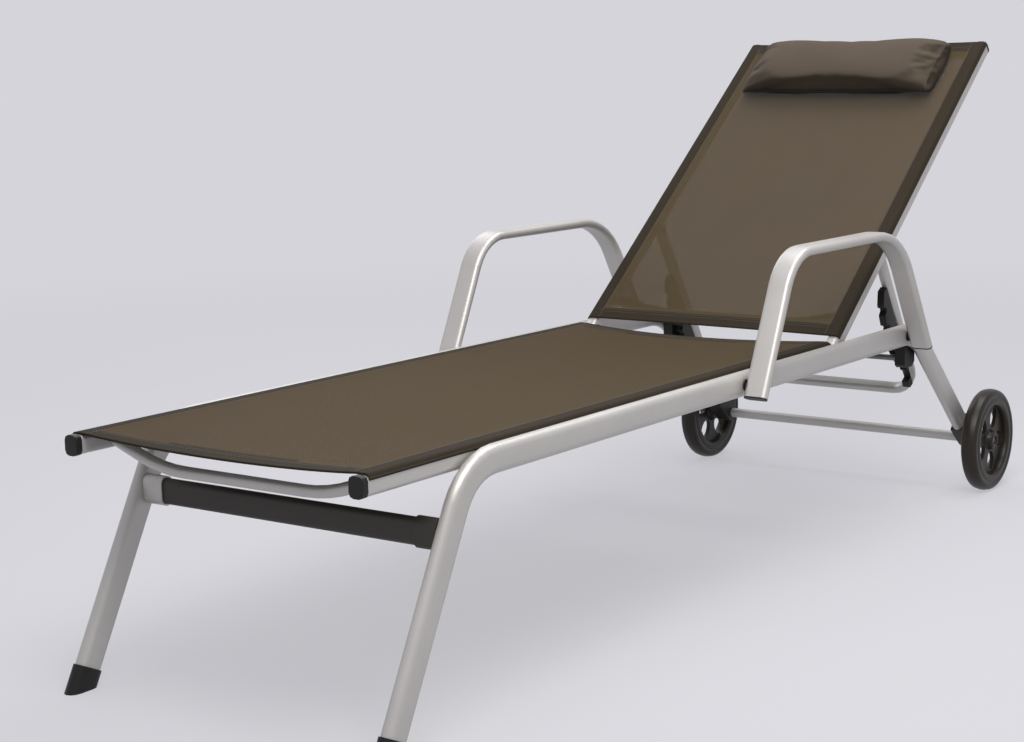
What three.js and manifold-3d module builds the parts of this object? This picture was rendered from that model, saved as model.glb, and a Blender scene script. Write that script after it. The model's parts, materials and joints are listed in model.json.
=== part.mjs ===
// Reclining sun lounger: aluminium side frames, textile slings, fixed armrests,
// a backrest held up by a notched stay over a catch rod, and two transport wheels.
// Millimetres. X is across the lounger, Y runs from the foot end to the head end, Z is up.
import * as THREE from "three";
import { mergeVertices } from "three/addons/utils/BufferGeometryUtils.js";
import Module from "manifold-3d";

const wasm = await Module();
wasm.setup();

// ---------- driving dimensions ----------
const CENTRE_Y = 880; // distance from the rail ends at the foot to the middle of the whole length
const GAP = 0.3; // clearance between pieces that rest on each other
const WALL = 1.5; // wall of the aluminium tubes

// side frames: one bent tube each, front leg, long run, rear leg
const SIDE_X = 256;
const SIDE_WIDTH = 20;
const SIDE_DEPTH = 38;
const SIDE_Z = 319.5;
const LEG_FOOT_Y = 12;
const LEG_ANGLE = THREE.MathUtils.degToRad(27);
const REAR_CORNER_Y = 1430;
const FRONT_BEND = 85;
const REAR_BEND = 110;

// wheels
const AXLE_Y = 1667;
const AXLE_Z = 93;
const WHEEL_RADIUS = 93;
const WHEEL_X = 295;
const WHEEL_WIDTH = 30;
const WEB_WIDTH = 8;
const LEG_END_GAP = 52;

// sling rails
const RAIL_X = 234.5;
const RAIL_WIDTH = 20;
const RAIL_DEPTH = 25;
const RAIL_Z = 325.2;
const RAIL_END_Y = 1138;
const CAP_LENGTH = 10;
const CAP_LIP = 1; // how far a cap's flange stands proud of its rail

// cross members
const CROSSBAR_Z = 243;
const CROSSBAR_DEPTH = 35;
const CROSSBAR_WIDTH = 16;
const FOOT_BOW_Y = 62;
const REAR_BOW_Y = 1075;
const BOW_SAG = 31;
const BOW_RADIUS = 8;

// armrests
const ARM_X = 287.5;
const ARM_WIDTH = 38;
const ARM_DEPTH = 15;
const ARM_Z = 505.5;
const ARM_FRONT_Y = 913;
const ARM_REAR_Y = 1273;
const ARM_FRONT_FOOT_Y = 817;
const ARM_REAR_FOOT_Y = 1392;
const ARM_FOOT_Z = 303;

// backrest, drawn at its resting tilt
const HINGE_Y = 1163;
const HINGE_Z = 327.5;
const TILT = THREE.MathUtils.degToRad(38.5);
const BACK_START = -13;
const BACK_LENGTH = 766;

// slings and pillow
const SLING_THICKNESS = 2;
const SLING_HALF_WIDTH = 242;
const PILLOW_HALF_WIDTH = 201;

// stay that holds the backrest, and the rod its rack catches on
const STAY_X = 215;
const STAY_WIDTH = 14;
const STAY_DEPTH = 24;
const STAY_PIVOT = 249.6; // along the backrest from the hinge
const STAY_ANGLE = THREE.MathUtils.degToRad(-59.4);
const STAY_LENGTH = 328;
const STAY_RATIO = -0.14; // how far the stay turns in space for each degree of recline
const STAY_BEND = 42;
const ROD_Y = 1430;
const ROD_Z = 271.5;
const ROD_RADIUS = 5;
const RECLINE_UP = 13; // degrees above the resting tilt
const RECLINE_DOWN = -38.5; // degrees to lie flat

// ---------- finishes ----------
const silver = { color: 0xb9b5ae, roughness: 0.42, metalness: 0.85 };
const darkCoat = { color: 0x2e2a24, roughness: 0.45, metalness: 0.4 };
const steel = { color: 0x5c5a57, roughness: 0.35, metalness: 1.0 };
const blackPlastic = { color: 0x1c1a17, roughness: 0.55, metalness: 0.0 };
const wheelPlastic = { color: 0x231d15, roughness: 0.6, metalness: 0.0 };
const textile = { color: 0x6a5d50, roughness: 0.85, metalness: 0.0 };

const part = new THREE.Group();
part.name = "reclining_sun_lounger";
part.position.set(0, -CENTRE_Y, 0);

// ---------- helpers ----------
function addPiece(parent, name, geometry, finish) {
  const mesh = new THREE.Mesh(geometry, new THREE.MeshStandardMaterial(finish));
  mesh.name = name;
  parent.add(mesh);
  return mesh;
}

function toSolid(geometry) {
  const plain = geometry.clone();
  plain.deleteAttribute("normal");
  plain.deleteAttribute("uv");
  const merged = mergeVertices(plain, 1e-4);
  return new wasm.Manifold(
    new wasm.Mesh({
      numProp: 3,
      vertProperties: new Float32Array(merged.attributes.position.array),
      triVerts: new Uint32Array(merged.index.array),
    }),
  );
}

function toGeometry(solid) {
  const mesh = solid.getMesh();
  const geometry = new THREE.BufferGeometry();
  geometry.setAttribute("position", new THREE.BufferAttribute(mesh.vertProperties, 3));
  geometry.setIndex(new THREE.BufferAttribute(mesh.triVerts, 1));
  geometry.computeVertexNormals();
  return geometry;
}

const cut = (body, ...tools) =>
  toGeometry(tools.reduce((left, tool) => left.subtract(toSolid(tool)), toSolid(body)));

const join = (first, ...others) =>
  toGeometry(others.reduce((sum, other) => sum.add(toSolid(other)), toSolid(first)));

// A solid round bar along X, from x0 to x1.
function barX(x0, x1, y, z, radius, segments = 12) {
  const bar = new THREE.CylinderGeometry(radius, radius, Math.abs(x1 - x0), segments);
  bar.rotateZ(Math.PI / 2);
  return bar.translate((x0 + x1) / 2, y, z);
}

// Outline of a flat oval (or a round), long axis along the shape's Y.
function ovalPoints(width, depth, corner, segments = 3) {
  const points = [];
  const centres = [[1, 1], [-1, 1], [-1, -1], [1, -1]];
  centres.forEach(([sx, sy], quarter) => {
    for (let i = 0; i <= segments; i++) {
      const angle = ((quarter + i / segments) * Math.PI) / 2;
      points.push(new THREE.Vector2(
        sx * (width / 2 - corner) + corner * Math.cos(angle),
        sy * (depth / 2 - corner) + corner * Math.sin(angle),
      ));
    }
  });
  return points.filter((p, i) => p.distanceTo(points[(i + 1) % points.length]) > 1e-3);
}

function ovalShape(width, depth, corner, wall = 0, segments = 3) {
  const shape = new THREE.Shape(ovalPoints(width, depth, corner, segments));
  if (wall > 0) {
    const inner = Math.max(corner - wall, 0.4);
    shape.holes.push(
      new THREE.Path(ovalPoints(width - 2 * wall, depth - 2 * wall, inner, segments)),
    );
  }
  return shape;
}

// A tube's centre line in one plane: straight runs between corners, each corner rounded by an arc.
// The section's own x axis stays square to that plane, along sideways.
class BentPath extends THREE.Curve {
  constructor(corners, radii, arcSteps = 6, sideways = new THREE.Vector3(1, 0, 0)) {
    super();
    this.sideways = sideways;
    this.points = [corners[0].clone()];
    this.tangents = [corners[1].clone().sub(corners[0]).normalize()];
    for (let i = 1; i < corners.length - 1; i++) {
      const before = corners[i].clone().sub(corners[i - 1]).normalize();
      const after = corners[i + 1].clone().sub(corners[i]).normalize();
      const turn = before.angleTo(after);
      const reach = radii[i - 1] * Math.tan(turn / 2);
      const start = corners[i].clone().addScaledVector(before, -reach);
      const inward = after.clone().addScaledVector(before, -after.dot(before)).normalize();
      for (let k = 0; k <= arcSteps; k++) {
        const angle = (turn * k) / arcSteps;
        this.points.push(
          start.clone()
            .addScaledVector(before, radii[i - 1] * Math.sin(angle))
            .addScaledVector(inward, radii[i - 1] * (1 - Math.cos(angle))),
        );
        this.tangents.push(
          before.clone().multiplyScalar(Math.cos(angle)).addScaledVector(inward, Math.sin(angle)),
        );
      }
    }
    const last = corners.length - 1;
    this.points.push(corners[last].clone());
    this.tangents.push(corners[last].clone().sub(corners[last - 1]).normalize());
  }

  get steps() {
    return this.points.length - 1;
  }

  getPointAt(u) {
    return this.points[Math.round(u * this.steps)].clone();
  }

  getTangentAt(u) {
    return this.tangents[Math.round(u * this.steps)].clone();
  }

  computeFrenetFrames() {
    return {
      tangents: this.tangents,
      normals: this.tangents.map(() => this.sideways.clone()),
      binormals: this.tangents.map((t) => t.clone().cross(this.sideways)),
    };
  }
}

const sweep = (shape, path) =>
  new THREE.ExtrudeGeometry(shape, { extrudePath: path, steps: path.steps, bevelEnabled: false });

const at3 = (x, y, z) => new THREE.Vector3(x, y, z);
const ALONG_Y = at3(0, 1, 0);
const ALONG_Z = at3(0, 0, 1);

// A profile in the Y-Z plane, given as [y, z] points, as a plate from x0 to x1.
function plateX(points, x0, x1, holes = []) {
  const shape = new THREE.Shape(points.map(([y, z]) => new THREE.Vector2(y, z)));
  holes.forEach((hole) =>
    shape.holes.push(new THREE.Path(hole.map(([y, z]) => new THREE.Vector2(y, z)))),
  );
  const plate = new THREE.ExtrudeGeometry(shape, { depth: x1 - x0, bevelEnabled: false });
  plate.rotateY(Math.PI / 2).rotateX(Math.PI / 2);
  return plate.translate(x0, 0, 0);
}

// The plug in a rail's end: a flange between two stations along Y, and a spigot into the tube.
function railPlug(x, z, from, to, spigotTo) {
  const along = (start, end) => new BentPath([at3(x, start, z), at3(x, end, z)], []);
  const slack = 2 * (WALL + GAP);
  return join(
    sweep(ovalShape(RAIL_WIDTH + 2 * CAP_LIP, RAIL_DEPTH + 2 * CAP_LIP, 7, 0, 2), along(from, to)),
    sweep(ovalShape(RAIL_WIDTH - slack, RAIL_DEPTH - slack, 4, 0, 2),
      along((from + to) / 2, spigotTo)),
  );
}

const sides = [["left", -1], ["right", 1]];

// ---------- side frames ----------
const legFoot = at3(0, LEG_FOOT_Y + 14 * Math.tan(LEG_ANGLE), 14);
const legTop = at3(0, LEG_FOOT_Y + SIDE_Z * Math.tan(LEG_ANGLE), SIDE_Z);
const rearDirection = at3(0, AXLE_Y - REAR_CORNER_Y, AXLE_Z - SIDE_Z).normalize();
const legEnd = at3(0, AXLE_Y, AXLE_Z).addScaledVector(rearDirection, -LEG_END_GAP);
const armFrontBoltY = ARM_FRONT_FOOT_Y
  + ((SIDE_Z - ARM_FOOT_Z) / (ARM_Z - ARM_FOOT_Z)) * (ARM_FRONT_Y - ARM_FRONT_FOOT_Y);
const armRearBoltY = ARM_REAR_FOOT_Y
  - ((SIDE_Z - ARM_FOOT_Z) / (ARM_Z - ARM_FOOT_Z)) * (ARM_REAR_FOOT_Y - ARM_REAR_Y);
const BOLT_RADIUS = 3;
const HINGE_RADIUS = 4;

for (const [side, s] of sides) {
  const path = new BentPath(
    [legFoot, legTop, at3(0, REAR_CORNER_Y, SIDE_Z), legEnd],
    [FRONT_BEND, REAR_BEND],
  );
  const tube = sweep(ovalShape(SIDE_WIDTH, SIDE_DEPTH, SIDE_WIDTH / 2, WALL), path);
  tube.translate(s * SIDE_X, 0, 0);
  const innerWall = [s * (SIDE_X - SIDE_WIDTH), s * SIDE_X];
  addPiece(part, `side_tube_${side}`, cut(
    tube,
    barX(s * (SIDE_X - SIDE_WIDTH), s * (SIDE_X + SIDE_WIDTH), armFrontBoltY, SIDE_Z, BOLT_RADIUS + GAP),
    barX(s * SIDE_X, s * (SIDE_X + SIDE_WIDTH), armRearBoltY, SIDE_Z, BOLT_RADIUS + GAP),
    barX(innerWall[0], innerWall[1], HINGE_Y, HINGE_Z, HINGE_RADIUS + GAP),
  ), silver);
}

// Rubber foot on each front leg, cut level with the ground.
const FOOT_WALL = 2.2;
const FOOT_HEIGHT = 30;
for (const [side, s] of sides) {
  const along = at3(0, Math.sin(LEG_ANGLE), Math.cos(LEG_ANGLE));
  const origin = at3(s * SIDE_X, LEG_FOOT_Y, 0);
  const straight = (from, to) => new BentPath(
    [origin.clone().addScaledVector(along, from), origin.clone().addScaledVector(along, to)], [],
  );
  const outer = sweep(
    ovalShape(SIDE_WIDTH + 2 * FOOT_WALL, SIDE_DEPTH + 2 * FOOT_WALL, SIDE_WIDTH / 2 + FOOT_WALL),
    straight(-20, FOOT_HEIGHT),
  );
  const legEndAlong = 14 / Math.cos(LEG_ANGLE);
  const cavity = sweep(
    ovalShape(SIDE_WIDTH + 2 * GAP, SIDE_DEPTH + 2 * GAP, SIDE_WIDTH / 2 + GAP),
    straight(legEndAlong - GAP, FOOT_HEIGHT + 5),
  );
  const ground = new THREE.BoxGeometry(200, 200, 100).translate(s * SIDE_X, 0, -50);
  addPiece(part, `foot_cap_${side}`, cut(outer, cavity, ground), blackPlastic);
}

// ---------- sling rails, their end caps and the bowed tubes between them ----------
const railInner = RAIL_X - RAIL_WIDTH / 2;
for (const [side, s] of sides) {
  const rail = sweep(
    ovalShape(RAIL_WIDTH, RAIL_DEPTH, 6, WALL),
    new BentPath([
      at3(s * RAIL_X, CAP_LENGTH, RAIL_Z), at3(s * RAIL_X, RAIL_END_Y, RAIL_Z),
    ], []),
  );
  addPiece(part, `sling_rail_${side}`, cut(
    rail,
    barX(s * (RAIL_X - 15), s * (RAIL_X + 15), armFrontBoltY, SIDE_Z, BOLT_RADIUS + GAP),
  ), silver);
  addPiece(part, `rail_front_cap_${side}`,
    railPlug(s * RAIL_X, RAIL_Z, 0, CAP_LENGTH - GAP, CAP_LENGTH + 16), blackPlastic);
  addPiece(part, `rail_rear_cap_${side}`,
    railPlug(s * RAIL_X, RAIL_Z, RAIL_END_Y + GAP, RAIL_END_Y + 3, RAIL_END_Y - 14), blackPlastic);
}

// A round tube between the rails that bows down in the middle, cut flush with their inner faces.
function bow(y, z, sag) {
  const reach = railInner - GAP;
  const knee = reach * 0.62;
  const slope = sag / (reach - knee);
  const path = new BentPath(
    [
      at3(-reach - 8, y, z + 8 * slope), at3(-knee, y, z - sag),
      at3(knee, y, z - sag), at3(reach + 8, y, z + 8 * slope),
    ],
    [220, 220], 4, ALONG_Y,
  );
  const beyond = (s) => new THREE.BoxGeometry(40, 80, 200).translate(s * (reach + 20), y, z);
  const tube = sweep(ovalShape(2 * BOW_RADIUS, 2 * BOW_RADIUS, BOW_RADIUS, WALL), path);
  return cut(tube, beyond(-1), beyond(1));
}
addPiece(part, "foot_bow", bow(FOOT_BOW_Y, RAIL_Z, BOW_SAG), silver);
addPiece(part, "seat_rear_bow", bow(REAR_BOW_Y, RAIL_Z, BOW_SAG), silver);

// Dark-coated flat tube between the front legs, held in a saddle at each leg.
const crossbarY = LEG_FOOT_Y + CROSSBAR_Z * Math.tan(LEG_ANGLE);
const crossbarEnd = SIDE_X - SIDE_WIDTH / 2 - GAP;
const straightX = (x0, x1, y, z) => new BentPath([at3(x0, y, z), at3(x1, y, z)], [], 0, ALONG_Y);
addPiece(part, "front_leg_crossbar", sweep(
  ovalShape(CROSSBAR_WIDTH, CROSSBAR_DEPTH, 7.5, WALL),
  straightX(-crossbarEnd, crossbarEnd, crossbarY, CROSSBAR_Z),
), darkCoat);
for (const [side, s] of sides) {
  const from = crossbarEnd - 34;
  const path = straightX(s * from, s * crossbarEnd, crossbarY, CROSSBAR_Z);
  addPiece(part, `crossbar_saddle_${side}`, sweep(
    ovalShape(CROSSBAR_WIDTH + 5, CROSSBAR_DEPTH + 5, 10, 2.5 - GAP), path,
  ), side === "left" ? silver : darkCoat);
}

// ---------- armrests ----------
for (const [side, s] of sides) {
  const path = new BentPath(
    [
      at3(0, ARM_FRONT_FOOT_Y, ARM_FOOT_Z), at3(0, ARM_FRONT_Y, ARM_Z),
      at3(0, ARM_REAR_Y, ARM_Z), at3(0, ARM_REAR_FOOT_Y, ARM_FOOT_Z),
    ],
    [80, 130], 7,
  );
  const tube = sweep(ovalShape(ARM_WIDTH, ARM_DEPTH, ARM_DEPTH / 2, WALL), path);
  tube.translate(s * ARM_X, 0, 0);
  const armInner = ARM_X - ARM_WIDTH / 2;
  addPiece(part, `armrest_${side}`, cut(
    tube,
    barX(s * (armInner - 5), s * (armInner + 6), armFrontBoltY, SIDE_Z, BOLT_RADIUS + GAP),
    barX(s * (armInner - 5), s * (armInner + 6), armRearBoltY, SIDE_Z, BOLT_RADIUS + GAP),
  ), silver);

  const ends = [
    ["front", ARM_FRONT_FOOT_Y, ARM_FRONT_Y, armFrontBoltY, RAIL_X - RAIL_WIDTH / 2],
    ["rear", ARM_REAR_FOOT_Y, ARM_REAR_Y, armRearBoltY, SIDE_X],
  ];
  for (const [end, footY, bendY, boltY, headFace] of ends) {
    const foot = at3(s * ARM_X, footY, ARM_FOOT_Z);
    const up = at3(0, bendY - footY, ARM_Z - ARM_FOOT_Z).normalize();
    const at = (distance) => foot.clone().addScaledVector(up, distance);
    addPiece(part, `armrest_plug_${end}_${side}`, join(
      sweep(ovalShape(ARM_WIDTH, ARM_DEPTH, ARM_DEPTH / 2), new BentPath([at(-2), at(-GAP)], [])),
      sweep(ovalShape(ARM_WIDTH - 2 * WALL - 1.6, ARM_DEPTH - 2 * WALL - 1.2, 5.4),
        new BentPath([at(-1), at(7)], [])),
    ), blackPlastic);
    const washer = cut(
      barX(s * (SIDE_X + SIDE_WIDTH / 2 + GAP), s * (armInner - GAP), boltY, SIDE_Z, 9),
      barX(s * (SIDE_X - 5), s * (armInner + 5), boltY, SIDE_Z, BOLT_RADIUS + GAP),
    );
    addPiece(part, `armrest_spacer_${end}_${side}`, washer, blackPlastic);
    addPiece(part, `armrest_bolt_${end}_${side}`, join(
      barX(s * (headFace - GAP - 3), s * (headFace - GAP), boltY, SIDE_Z, 6.5),
      barX(s * (headFace - GAP - 1), s * (armInner + 5), boltY, SIDE_Z, BOLT_RADIUS),
    ), steel);
  }
}

// ---------- rear axle, wheel brackets and wheels ----------
const AXLE_TUBE_RADIUS = 9;
const AXLE_RADIUS = 5;
const bracketInner = SIDE_X - 12;
const bracketOuter = SIDE_X + 17;
addPiece(part, "axle_tube", cut(
  barX(-bracketInner + GAP, bracketInner - GAP, AXLE_Y, AXLE_Z, AXLE_TUBE_RADIUS, 20),
  barX(-bracketInner - 5, bracketInner + 5, AXLE_Y, AXLE_Z, AXLE_RADIUS + 1, 20),
), silver);
addPiece(part, "axle_rod", barX(
  -(WHEEL_X + WHEEL_WIDTH / 2 - 2), WHEEL_X + WHEEL_WIDTH / 2 - 2, AXLE_Y, AXLE_Z, AXLE_RADIUS, 20,
), steel);
for (const [side, s] of sides) {
  // plastic end of the rear leg: a rounded block that carries the axle, with a spigot up the tube
  const normal = at3(0, -rearDirection.z, rearDirection.y);
  const at = (along, across) => {
    const p = at3(0, AXLE_Y, AXLE_Z)
      .addScaledVector(rearDirection, along).addScaledVector(normal, across);
    return [p.y, p.z];
  };
  const outline = [at(-LEG_END_GAP + GAP, -19), at(-20, -18)];
  for (let i = 0; i <= 10; i++) {
    const angle = -Math.PI / 2 + (Math.PI * i) / 10;
    outline.push(at(16 * Math.cos(angle), 16 * Math.sin(angle)));
  }
  outline.push(at(-20, 18), at(-LEG_END_GAP + GAP, 19));
  const x0 = Math.min(s * bracketInner, s * bracketOuter);
  const spigot = sweep(
    ovalShape(SIDE_WIDTH - 2 * WALL - 2 * GAP, SIDE_DEPTH - 2 * WALL - 2 * GAP, 8),
    new BentPath([
      at3(s * SIDE_X, 0, 0).add(legEnd).addScaledVector(rearDirection, -18),
      at3(s * SIDE_X, 0, 0).add(legEnd).addScaledVector(rearDirection, 4),
    ], []),
  );
  const width = bracketOuter - bracketInner;
  const block = plateX(outline, x0, x0 + width);
  const bore = barX(x0 - 5, x0 + width + 5, AXLE_Y, AXLE_Z, AXLE_RADIUS + GAP, 20);
  addPiece(part, `wheel_bracket_${side}`, toGeometry(
    toSolid(block).add(toSolid(spigot)).subtract(toSolid(bore)),
  ), blackPlastic);
}

// One moulded wheel: rounded tread, five oval openings, hub boss with a bore.
function wheel(x, firstOpening) {
  const half = WHEEL_WIDTH / 2;
  const r = WHEEL_RADIUS;
  const rimInner = 0.67 * r;
  const profile = [
    [rimInner, -half + 3], [rimInner + 4, -half], [r - 9, -half], [r - 3, -half + 3.5],
    [r, -half + 9], [r, half - 9], [r - 3, half - 3.5], [r - 9, half],
    [rimInner + 4, half], [rimInner, half - 3], [rimInner, -half + 3],
  ].map(([radius, height]) => new THREE.Vector2(radius, height));
  const rim = new THREE.LatheGeometry(profile, 36);
  rim.rotateZ(-Math.PI / 2);
  const disc = new THREE.Shape();
  disc.absarc(0, 0, rimInner + 2, 0, 2 * Math.PI, false);
  for (let i = 0; i < 5; i++) {
    const angle = firstOpening + (2 * Math.PI * i) / 5;
    const hole = new THREE.Path();
    hole.absellipse(
      42.5 * Math.cos(angle), 42.5 * Math.sin(angle), 19.5, 13.5, 0, 2 * Math.PI, true, angle,
    );
    disc.holes.push(new THREE.Path(hole.getPoints(11).slice(0, -1)));
  }
  const flat = new THREE.Shape(disc.getPoints(7).slice(0, -1));
  flat.holes = disc.holes;
  const spokes = new THREE.ExtrudeGeometry(flat, { depth: WEB_WIDTH, bevelEnabled: false });
  spokes.translate(0, 0, -WEB_WIDTH / 2).rotateY(Math.PI / 2).rotateX(Math.PI / 2);
  const hub = barX(-half + 1, half - 1, 0, 0, 16, 24);
  const bore = barX(-half - 5, half + 5, 0, 0, AXLE_RADIUS + GAP, 20);
  const body = toSolid(rim).add(toSolid(spokes)).add(toSolid(hub)).subtract(toSolid(bore));
  return toGeometry(body).translate(x, AXLE_Y, AXLE_Z);
}
const firstOpenings = { left: Math.PI / 2, right: THREE.MathUtils.degToRad(65) };
for (const [side, s] of sides) {
  addPiece(part, `wheel_${side}`, wheel(s * WHEEL_X, firstOpenings[side]), wheelPlastic);
  const face = WHEEL_X + WHEEL_WIDTH / 2 - 1 + GAP;
  addPiece(part, `hub_cap_${side}`,
    barX(s * face, s * (face + 3), AXLE_Y, AXLE_Z, 14, 24), wheelPlastic);
}

// ---------- catch rod under the side tubes ----------
const blockOuter = SIDE_X - SIDE_WIDTH / 2 - GAP;
const blockInner = 226.5;
const BLOCK_TOP = 311; // clear of the backrest's rail when it lies flat
addPiece(part, "catch_rod", barX(-(blockOuter - 4), blockOuter - 4, ROD_Y, ROD_Z, ROD_RADIUS), steel);
for (const [side, s] of sides) {
  const x0 = Math.min(s * blockInner, s * blockOuter);
  const block = plateX(
    [
      [ROD_Y - 15, 262], [ROD_Y - 9, 257], [ROD_Y + 14, 257], [ROD_Y + 24, 265],
      [ROD_Y + 24, 296], [ROD_Y + 10, BLOCK_TOP], [ROD_Y - 15, BLOCK_TOP],
    ],
    x0, x0 + (blockOuter - blockInner),
  );
  addPiece(part, `catch_rod_block_${side}`, cut(
    block,
    barX(s * (blockInner - 5), s * (blockOuter - 3.7), ROD_Y, ROD_Z, ROD_RADIUS + GAP),
  ), blackPlastic);
}

// ---------- seat sling ----------
// Its two hems curve in toward the middle, as a sling does that is only pulled sideways.
function slingOutline(start, end, hemCurve) {
  const points = [];
  const steps = 12;
  for (let i = 0; i <= steps; i++) {
    const t = -1 + (2 * i) / steps;
    points.push(new THREE.Vector2(t * SLING_HALF_WIDTH, start + hemCurve[0] * (1 - t * t)));
  }
  for (let i = 0; i <= steps; i++) {
    const t = 1 - (2 * i) / steps;
    points.push(new THREE.Vector2(t * SLING_HALF_WIDTH, end - hemCurve[1] * (1 - t * t)));
  }
  return points;
}
const sling = (start, end, hemCurve, height) =>
  new THREE.ExtrudeGeometry(new THREE.Shape(slingOutline(start, end, hemCurve)), {
    depth: SLING_THICKNESS, bevelEnabled: false,
  }).translate(0, 0, height + GAP);
addPiece(part, "seat_sling",
  sling(CAP_LENGTH + 2, RAIL_END_Y - 2, [8, 34], RAIL_Z + RAIL_DEPTH / 2), textile);

// ---------- backrest, drawn flat along +Y from its hinge and then tilted ----------
const backrest = new THREE.Group();
backrest.name = "backrest_group";
backrest.position.set(0, HINGE_Y, HINGE_Z);
backrest.rotation.x = TILT;
part.add(backrest);

for (const [side, s] of sides) {
  const rail = sweep(
    ovalShape(RAIL_WIDTH, RAIL_DEPTH, 6, WALL),
    new BentPath([at3(s * RAIL_X, BACK_START, 0), at3(s * RAIL_X, BACK_LENGTH - 4, 0)], []),
  );
  addPiece(backrest, `backrest_rail_${side}`, cut(
    rail,
    barX(s * (RAIL_X - 15), s * (RAIL_X + 15), 0, 0, HINGE_RADIUS + GAP),
    barX(s * (RAIL_X - 15), s * (RAIL_X + 5), STAY_PIVOT, 0, HINGE_RADIUS + GAP),
  ), silver);
  addPiece(backrest, `backrest_foot_cap_${side}`,
    railPlug(s * RAIL_X, 0, BACK_START - 3, BACK_START - GAP, BACK_START + 7), blackPlastic);
  addPiece(backrest, `backrest_head_cap_${side}`,
    railPlug(s * RAIL_X, 0, BACK_LENGTH - 4 + GAP, BACK_LENGTH, BACK_LENGTH - 18), blackPlastic);
  addPiece(part, `hinge_bolt_${side}`, join(
    barX(s * (railInner - GAP - 3.5), s * (railInner - GAP), HINGE_Y, HINGE_Z, 7),
    barX(s * (railInner - GAP - 1), s * (SIDE_X - 3), HINGE_Y, HINGE_Z, HINGE_RADIUS),
  ), steel);
  addPiece(backrest, `stay_pivot_${side}`, join(
    barX(s * (STAY_X - STAY_WIDTH / 2 - GAP - 3), s * (STAY_X - STAY_WIDTH / 2 - GAP), STAY_PIVOT, 0, 7),
    barX(s * (STAY_X - STAY_WIDTH / 2 - GAP - 1), s * (RAIL_X - 2), STAY_PIVOT, 0, HINGE_RADIUS),
  ), steel);
}
const TOP_TUBE_RADIUS = 11;
addPiece(backrest, "backrest_top_tube", sweep(
  ovalShape(2 * TOP_TUBE_RADIUS, 2 * TOP_TUBE_RADIUS, TOP_TUBE_RADIUS, WALL),
  straightX(-railInner + GAP, railInner - GAP, BACK_LENGTH - 18, 0),
), silver);
addPiece(backrest, "backrest_lower_bow", bow(70, 0, 24), silver);
addPiece(backrest, "backrest_sling",
  sling(12, BACK_LENGTH - 4, [4, 0], RAIL_DEPTH / 2), textile);

const slingTop = RAIL_DEPTH / 2 + GAP + SLING_THICKNESS + GAP;
addPiece(backrest, "head_pillow", plateX(
  [
    [586, slingTop], [750, slingTop], [752, slingTop + 7], [734, slingTop + 23],
    [698, slingTop + 37], [660, slingTop + 44], [624, slingTop + 44], [598, slingTop + 36],
    [586, slingTop + 18],
  ],
  -PILLOW_HALF_WIDTH, PILLOW_HALF_WIDTH,
), textile);

// ---------- stay: U-shaped flat-oval tube with a notched rack on each leg ----------
// Drawn in its own plane: +Y down the legs, +Z toward the foot end. The legs' upper ends are
// rounded about the pivot, which keeps them clear of the sling when the backrest lies flat.
const stay = new THREE.Group();
stay.name = "stay_group";
stay.position.set(
  0,
  HINGE_Y + STAY_PIVOT * Math.cos(TILT),
  HINGE_Z + STAY_PIVOT * Math.sin(TILT),
);
stay.rotation.x = STAY_ANGLE;
part.add(stay);

const stayPath = new BentPath(
  [
    at3(-STAY_X, -12, 0), at3(-STAY_X, STAY_LENGTH, 0),
    at3(STAY_X, STAY_LENGTH, 0), at3(STAY_X, -12, 0),
  ],
  [STAY_BEND, STAY_BEND], 5, ALONG_Z,
);
const legCorners = cut(
  new THREE.BoxGeometry(2 * STAY_X + 40, 40, 60).translate(0, -20, 0),
  barX(-STAY_X - 20, STAY_X + 20, 0, 0, STAY_DEPTH / 2 - 0.5, 24),
);
addPiece(stay, "stay_tube", cut(
  sweep(ovalShape(STAY_DEPTH, STAY_WIDTH, STAY_WIDTH / 2, WALL), stayPath),
  legCorners,
  barX(-STAY_X - 12, -STAY_X + 12, 0, 0, HINGE_RADIUS + GAP),
  barX(STAY_X - 12, STAY_X + 12, 0, 0, HINGE_RADIUS + GAP),
), silver);

// Where the catch rod stands in the stay's plane when the backrest is turned by a number of degrees.
function rodSeenFromStay(turn) {
  const tilt = TILT + THREE.MathUtils.degToRad(turn);
  const angle = STAY_ANGLE + STAY_RATIO * THREE.MathUtils.degToRad(turn);
  const dy = ROD_Y - (HINGE_Y + STAY_PIVOT * Math.cos(tilt));
  const dz = ROD_Z - (HINGE_Z + STAY_PIVOT * Math.sin(tilt));
  return [
    dy * Math.cos(angle) + dz * Math.sin(angle),
    -(dz * Math.cos(angle) - dy * Math.sin(angle)),
  ];
}

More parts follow.
